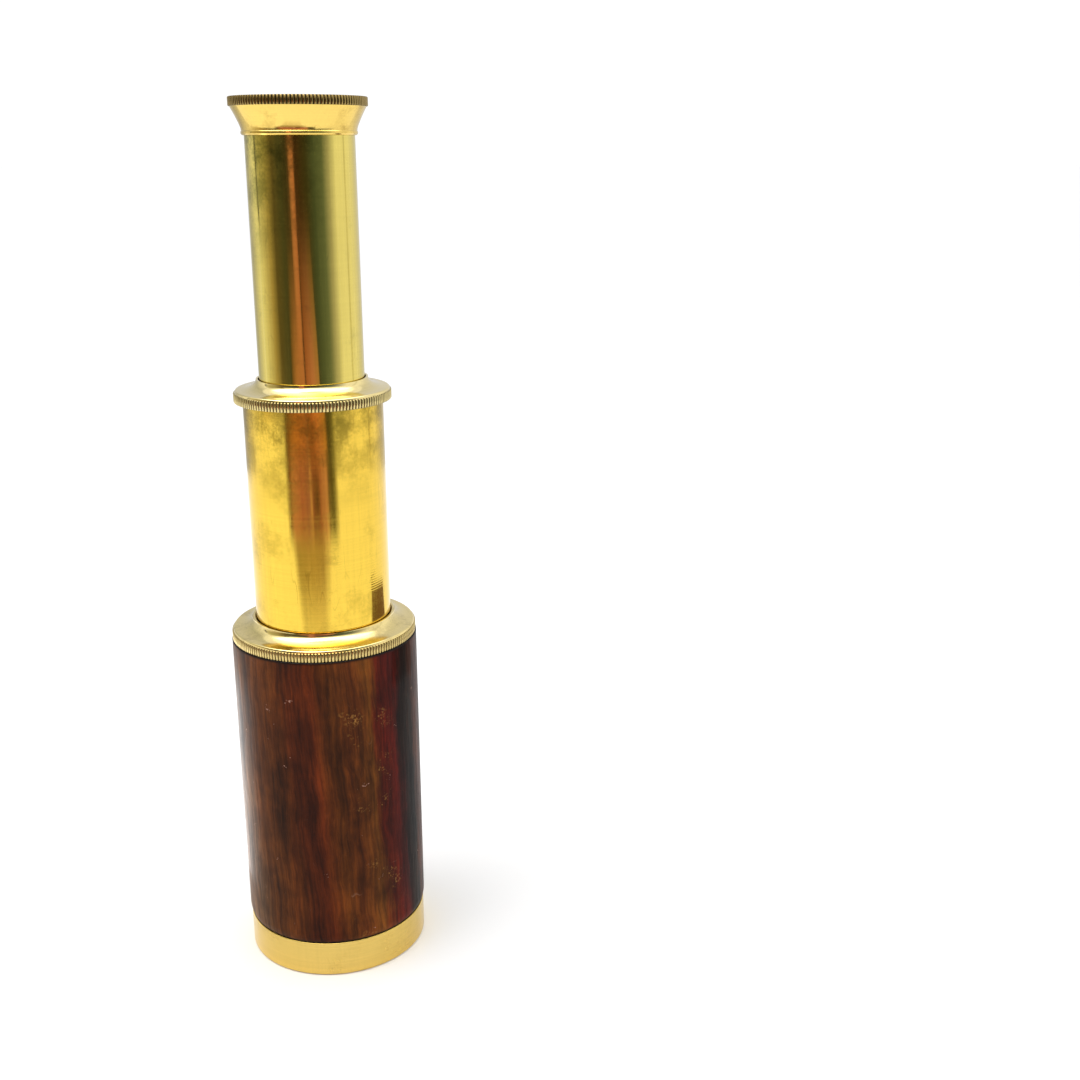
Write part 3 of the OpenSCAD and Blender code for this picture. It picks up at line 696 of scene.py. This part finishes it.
draw_collar_top = span("draw_collar")[2]
draw_knurl_z = draw_collar_top - COVE_H - SHOULDER_H - KNURL_H
draw_collar_brass = brass(
    "Draw collar brass", (0.85, 0.70, 0.32, 1), (0.50, 0.39, 0.16, 1), roughness=0.08,
    cover=0.44, softness=0.4, patches=260.0, lines=0.25, rings=0.3, wave=0.00014,
    knurl=(DRAW_COLLAR_R, KNURL_DEPTH, draw_knurl_z, draw_knurl_z + KNURL_H,
           (0.86, 0.70, 0.30, 1), (0.018, 0.012, 0.005, 1)))
draw_cap = collar("draw_cap", DRAW_COLLAR_R, DRAW_COLLAR_BORE, DRAW_SEAT_R, DRAW_SPIGOT_R,
                  draw_knurl_z, DRAW_RIDGES, draw_collar_brass)
finish_piece(draw_cap, "large_draw", "draw_collar")


# SMALL DRAW TUBE
# The narrow sliding tube, of a paler, greener brass than the rest. It is polished, with a dull
# olive bloom near the top and fine lines where it slides through its sleeve.
SMALL_BORE = 8.5

small_r, small_z, small_top = span("small_draw_tube")
small_brass = brass(
    "Small draw brass", (0.74, 0.60, 0.15, 1), (0.42, 0.36, 0.10, 1), roughness=0.045,
    cover=0.40, softness=0.5, patches=160.0, lines=0.4, rings=0.3, ring_height=0.0000003,
    bloom=(124.0, 145.0, (0.26, 0.24, 0.05, 1), -140.0))
small_tube = turned("small_tube", [
    (SMALL_BORE, small_z, 0.1), (small_r, small_z, 0.1), (small_r, small_top, 0.05),
    (SMALL_BORE, small_top, 0.05)], small_brass)
finish_piece(small_tube, "small_draw", "small_draw_tube")


# EYECUP
# The flared cup that the eye rests against, screwed into the top of the small draw. It is turned
# with a small foot, a dished top round the eye hole and a knurled rim dark with age.
CUP_RIDGES = 120
CUP_RIM_R = 11.3
CUP_KNURL_H = 1.5
CUP_RIM_W = 1.0
CUP_FOOT_R, CUP_FOOT_TOP_R, CUP_FOOT_H = 9.3, 9.5, 0.7
CUP_BORE, CUP_SPIGOT_R, CUP_SPIGOT = 7.55, 8.47, 4.0
CUP_HOLE, CUP_DISH_H, CUP_WEB_H = 4.5, 3.1, 0.8
CUP_NECK, CUP_FLARE_INSET, CUP_FLARE_POWER = 0.08, 0.06, 1.2

cup_z, cup_top = small_top, span("eyecup")[2]
cup_core = CUP_RIM_R - KNURL_DEPTH - KNURL_INSET
cup_knurl_z = cup_top - CUP_KNURL_H
cup_dish_r = CUP_RIM_R - CUP_RIM_W
cup_web_z = cup_top - CUP_DISH_H - CUP_WEB_H
cup_brass = brass(
    "Eyecup brass", (0.84, 0.60, 0.15, 1), (0.50, 0.32, 0.07, 1), roughness=0.07,
    cover=0.48, softness=0.35, patches=260.0, lines=0.25, rings=0.4, scratches=0.46, wave=0.00006,
    knurl=(CUP_RIM_R, KNURL_DEPTH, cup_knurl_z, cup_top, (0.42, 0.30, 0.10, 1), (0.016, 0.010, 0.005, 1)))
flare_r = CUP_FOOT_TOP_R - CUP_FLARE_INSET
flare_z, flare_h = cup_z + CUP_FOOT_H, cup_knurl_z - cup_z - CUP_FOOT_H
flare = [(flare_r + (cup_core - flare_r) * (max(0.0, t - CUP_NECK) / (1 - CUP_NECK)) ** CUP_FLARE_POWER,
          flare_z + flare_h * t, 0) for t in (0.1, 0.2, 0.35, 0.55, 0.75, 0.92)]
cup_blank = turned("eye_cup", [
    (CUP_BORE, cup_z - CUP_SPIGOT, 0), (CUP_SPIGOT_R, cup_z - CUP_SPIGOT, 0.1), (CUP_SPIGOT_R, cup_z, 0),
    (CUP_FOOT_R, cup_z, 0.08), (CUP_FOOT_TOP_R, cup_z + 0.25, 0.08),
    (CUP_FOOT_TOP_R, flare_z - 0.15, 0.08), (CUP_FOOT_TOP_R - 0.1, flare_z, 0.04), *flare,
    (cup_core, cup_knurl_z, 0.05), (cup_core, cup_top, 0.15),
    *curve(CUP_HOLE, cup_top, cup_dish_r - CUP_HOLE, CUP_DISH_H, 0, -90, 16),
    (CUP_HOLE, cup_web_z, 0.1), (CUP_BORE, cup_web_z, 0)], cup_brass)
eye_cup = knurled(cup_blank, CUP_RIDGES, CUP_RIM_R, KNURL_DEPTH, cup_knurl_z, CUP_KNURL_H, cup_brass)
finish_piece(eye_cup, "small_draw", "eyecup")


# FLOOR, LIGHT AND CAMERA
# A white floor under an even white sky, with a soft box above and to the left. Dark, coloured and
# bright cards stand round the telescope and hang over it, where only polished surfaces see them.
FLOOR_HALF = 12.0
CAMERA_AT = (0.04181, -0.22809, 0.14528)
CAMERA_LENS = 44.485
CAMERA_DOWN = math.radians(16.344)
CAMERA_TURN = math.radians(-0.661)
CAMERA_ROLL = math.radians(-0.162)


def stage_plane(name, corners, material):
    """A stage object of separate four-cornered faces, four corners to a face."""
    mesh = bpy.data.meshes.new(name)
    mesh.from_pydata(corners, [], [tuple(range(i, i + 4)) for i in range(0, len(corners), 4)])
    plane = bpy.data.objects.new(name, mesh)
    bpy.context.scene.collection.objects.link(plane)
    mesh.materials.append(material)
    return plane


floor_white, floor_tree, floor_shader, floor_on = blank_material("White floor")
floor_colour = blended(floor_tree, noise(floor_tree, floor_on, 40.0, 3.0)[0],
                       (0.945, 0.945, 0.945, 1), (0.965, 0.965, 0.965, 1))
floor_tree.links.new(floor_colour, floor_shader.inputs["Base Color"])
floor_shader.inputs["Roughness"].default_value = 0.9
stage_plane("studio_floor", [
    (-FLOOR_HALF, -FLOOR_HALF, 0), (FLOOR_HALF, -FLOOR_HALF, 0), (FLOOR_HALF, FLOOR_HALF, 0),
    (-FLOOR_HALF, FLOOR_HALF, 0)], floor_white)

FRONT = math.atan2(CAMERA_AT[1], CAMERA_AT[0])
WHITE = (1.0, 1.0, 1.0)
SKY_STRENGTH = 1.06


def card(name, reach, low, high, stops, lean=0.0, fade_low=0.0, fade_high=0.0, flat_to=None,
         narrow=0.0):
    """A curved card about the telescope, seen only by polished surfaces, shaded from stop to stop.
    A stop is degrees round from the front and a colour. lean turns its top, narrow draws in its foot
    and a fade softens an edge. flat_to lays it down and is how far out it then reaches. Lengths are
    in metres."""
    degrees_per_face = 3
    material, tree = empty_material(name)
    start, end = stops[0][0], stops[-1][0]
    laid_on = place(tree, "ShaderNodeTexCoord").outputs["UV"]
    spread = place(tree, "ShaderNodeSeparateXYZ", {0: laid_on}).outputs
    ramp = place(tree, "ShaderNodeValToRGB", {0: spread[0]})
    fill_ramp(ramp.color_ramp, [((angle - start) / (end - start), colour) for angle, colour in stops])
    glow = place(tree, "ShaderNodeEmission", {"Color": ramp.outputs[0], "Strength": 1.0})
    shown = 1.0
    if fade_low:
        shown = calc(tree, "MULTIPLY", spread[1], 1 / fade_low, clamp=True)
    if fade_high:
        upper = calc(tree, "MULTIPLY", calc(tree, "SUBTRACT", 1.0, spread[1]), 1 / fade_high, clamp=True)
        shown = calc(tree, "MULTIPLY", shown, upper)
    clear = place(tree, "ShaderNodeBsdfTransparent")
    mixed = place(tree, "ShaderNodeMixShader", {0: shown, 1: clear.outputs[0], 2: glow.outputs[0]})
    place(tree, "ShaderNodeOutputMaterial", {"Surface": mixed.outputs[0]})
    faces = max(2, int(abs(end - start) / degrees_per_face))
    corners, spots = [], []
    for i in range(faces):
        for k, v in ((0, 0), (1, 0), (1, 1), (0, 1)):
            u = (i + k) / faces
            drawn_in = (u - 0.5) * narrow * (1 - v)
            angle = FRONT + math.radians(start + (end - start) * (u - drawn_in) + lean * v)
            out = reach if flat_to is None else reach + (flat_to - reach) * v
            corners.append((out * math.cos(angle), out * math.sin(angle), low + (high - low) * v))
            spots.append((u, v))
    plane = stage_plane(name, corners, material)
    layer = plane.data.uv_layers.new(name="UVMap")
    for loop in plane.data.loops:
        layer.data[loop.index].uv = spots[loop.vertex_index]
    plane.visible_camera = plane.visible_diffuse = plane.visible_shadow = plane.visible_transmission = False


card("dark_room", 0.300, 0.047, 0.320, (
    (-112, WHITE), (-96, (0.80, 0.74, 0.62)), (-78, (0.48, 0.38, 0.22)), (-64, (0.14, 0.11, 0.06)),
    (-46, (0.085, 0.085, 0.055)), (-12, (0.07, 0.035, 0.02)), (8, (0.06, 0.055, 0.03)),
    (22, (0.085, 0.11, 0.09)), (42, (0.16, 0.20, 0.18)), (56, (0.50, 0.50, 0.50)), (72, WHITE)),
    fade_high=0.4)
card("amber_strip", 0.290, 0.040, 0.320, (
    (-27, (0.30, 0.14, 0.08)), (-23, (0.62, 0.26, 0.20)), (-16, (0.56, 0.21, 0.15))), lean=-1.0)
card("amber_fan", 0.289, 0.035, 0.115, (
    (-38, (0.16, 0.10, 0.04)), (-31, (0.52, 0.23, 0.13)), (-20, (0.58, 0.23, 0.16))),
    fade_high=0.6, narrow=-0.8)
card("amber_wedge", 0.288, 0.035, 0.125, (
    (-8, (0.45, 0.15, 0.09)), (4, (0.62, 0.25, 0.20)), (15, (0.50, 0.28, 0.16))),
    lean=-7.0, fade_high=0.7, narrow=-0.3)
card("brown_low", 0.296, 0.0, 0.052, (
    (-51, WHITE), (-47, (0.14, 0.09, 0.05)), (-40, (0.60, 0.30, 0.34)), (-24, (0.45, 0.18, 0.26)),
    (-14, (0.36, 0.17, 0.28)), (-11, (0.70, 0.42, 0.45)), (-8, (0.26, 0.10, 0.14)), (4, (0.42, 0.18, 0.22)),
    (14, (0.66, 0.36, 0.45)), (18, (0.12, 0.10, 0.08)), (27, (0.14, 0.14, 0.09)), (33, WHITE)))
card("ochre_floor", 0.150, 0.0005, 0.001, (
    (-46, WHITE), (-38, (0.47, 0.40, 0.28)), (-12, (0.53, 0.42, 0.30)), (4, (0.50, 0.40, 0.32)), (18, WHITE)),
    fade_low=0.7, flat_to=0.292, narrow=0.6)
card("left_glare", 0.034, 0.0005, 0.001, (
    (-166, WHITE), (-146, (4.2, 4.2, 4.2)), (-118, (3.4, 3.4, 3.4)), (-92, WHITE)),
    flat_to=0.150, fade_high=0.2)
card("dark_spot", 0.284, 0.010, 0.030, (
    (-7, (0.20, 0.10, 0.08)), (-2, (0.07, 0.05, 0.04)), (3, (0.20, 0.10, 0.08))),
    fade_low=0.3, fade_high=0.3)
card("olive_shade", 0.295, 0.112, 0.320, (
    (-112, (0.75, 0.72, 0.55)), (-98, (0.50, 0.46, 0.28)), (-84, (0.42, 0.38, 0.22)),
    (-70, (0.22, 0.18, 0.09)), (-64, (0.14, 0.11, 0.06))), fade_low=0.2)
card("thin_line_right", 0.290, 0.030, 0.320, (
    (96, WHITE), (99, (0.72, 0.70, 0.62)), (102, WHITE)))
card("thin_line_left", 0.290, 0.114, 0.220, (
    (-109.5, WHITE), (-107.5, (0.03, 0.025, 0.01)), (-105.5, (0.03, 0.025, 0.01)), (-103.5, WHITE)),
    lean=-3.0, fade_low=0.1)
card("box_top", 0.120, 0.010, 0.035, (
    (89, (0.30, 0.24, 0.23)), (91, (0.18, 0.12, 0.11)), (121, (0.20, 0.13, 0.12))), lean=-2.0, narrow=-0.5)
card("grey_behind", 0.400, 0.0, 0.400, (
    (118, WHITE), (140, (0.80, 0.80, 0.80)), (180, (0.7, 0.7, 0.7)), (214, (0.52, 0.53, 0.52)), (244, WHITE)))
card("bright_above", 0.060, 0.420, 0.560, (
    (-125, (3.0, 3.0, 3.0)), (-45, (7.5, 7.5, 7.5)), (-5, (6.5, 6.5, 6.5)), (30, (3.6, 3.6, 3.6)),
    (115, (3.0, 3.0, 3.0))), fade_low=0.2, fade_high=0.35, flat_to=0.480)
card("ceiling", 0.002, 0.600, 0.601, (
    (-180, (2.4, 2.4, 2.4)), (180, (2.4, 2.4, 2.4))), fade_high=0.3, flat_to=0.480)

world = bpy.data.worlds.new("Even sky")
world.use_nodes = True
sky = world.node_tree.nodes["Background"].inputs
sky["Color"].default_value = (*WHITE, 1)
sky["Strength"].default_value = SKY_STRENGTH
bpy.context.scene.world = world


def soft_box(name, at, aim, size, power):
    """A square or oblong light at one point, turned to another."""
    light = bpy.data.lights.new(name, "AREA")
    light.shape = "RECTANGLE"
    light.size, light.size_y = size
    light.energy = power
    box = bpy.data.objects.new(name, light)
    box.location = at
    box.rotation_euler = (Vector(aim) - Vector(at)).to_track_quat("-Z", "Y").to_euler()
    bpy.context.scene.collection.objects.link(box)


soft_box("soft_box_above", (-0.25, -0.15, 0.75), (0, 0, 0.08), (0.35, 0.35), 1.6)

camera_data = bpy.data.cameras.new("camera")
camera_data.lens = CAMERA_LENS
camera_data.sensor_width = 36.0
camera_data.clip_start = 0.005
camera_data.clip_end = 60.0
camera = bpy.data.objects.new("camera", camera_data)
bpy.context.scene.collection.objects.link(camera)
ahead = Vector((math.sin(CAMERA_TURN) * math.cos(CAMERA_DOWN),
                math.cos(CAMERA_TURN) * math.cos(CAMERA_DOWN), -math.sin(CAMERA_DOWN)))
level = Vector((math.cos(CAMERA_TURN), -math.sin(CAMERA_TURN), 0))
upright = level.cross(ahead)
right = level * math.cos(CAMERA_ROLL) + upright * math.sin(CAMERA_ROLL)
up = upright * math.cos(CAMERA_ROLL) - level * math.sin(CAMERA_ROLL)
camera.matrix_world = Matrix.Translation(CAMERA_AT) @ Matrix((right, up, -ahead)).transposed().to_4x4()
bpy.context.scene.camera = camera
bpy.context.scene.view_settings.view_transform = "Standard"
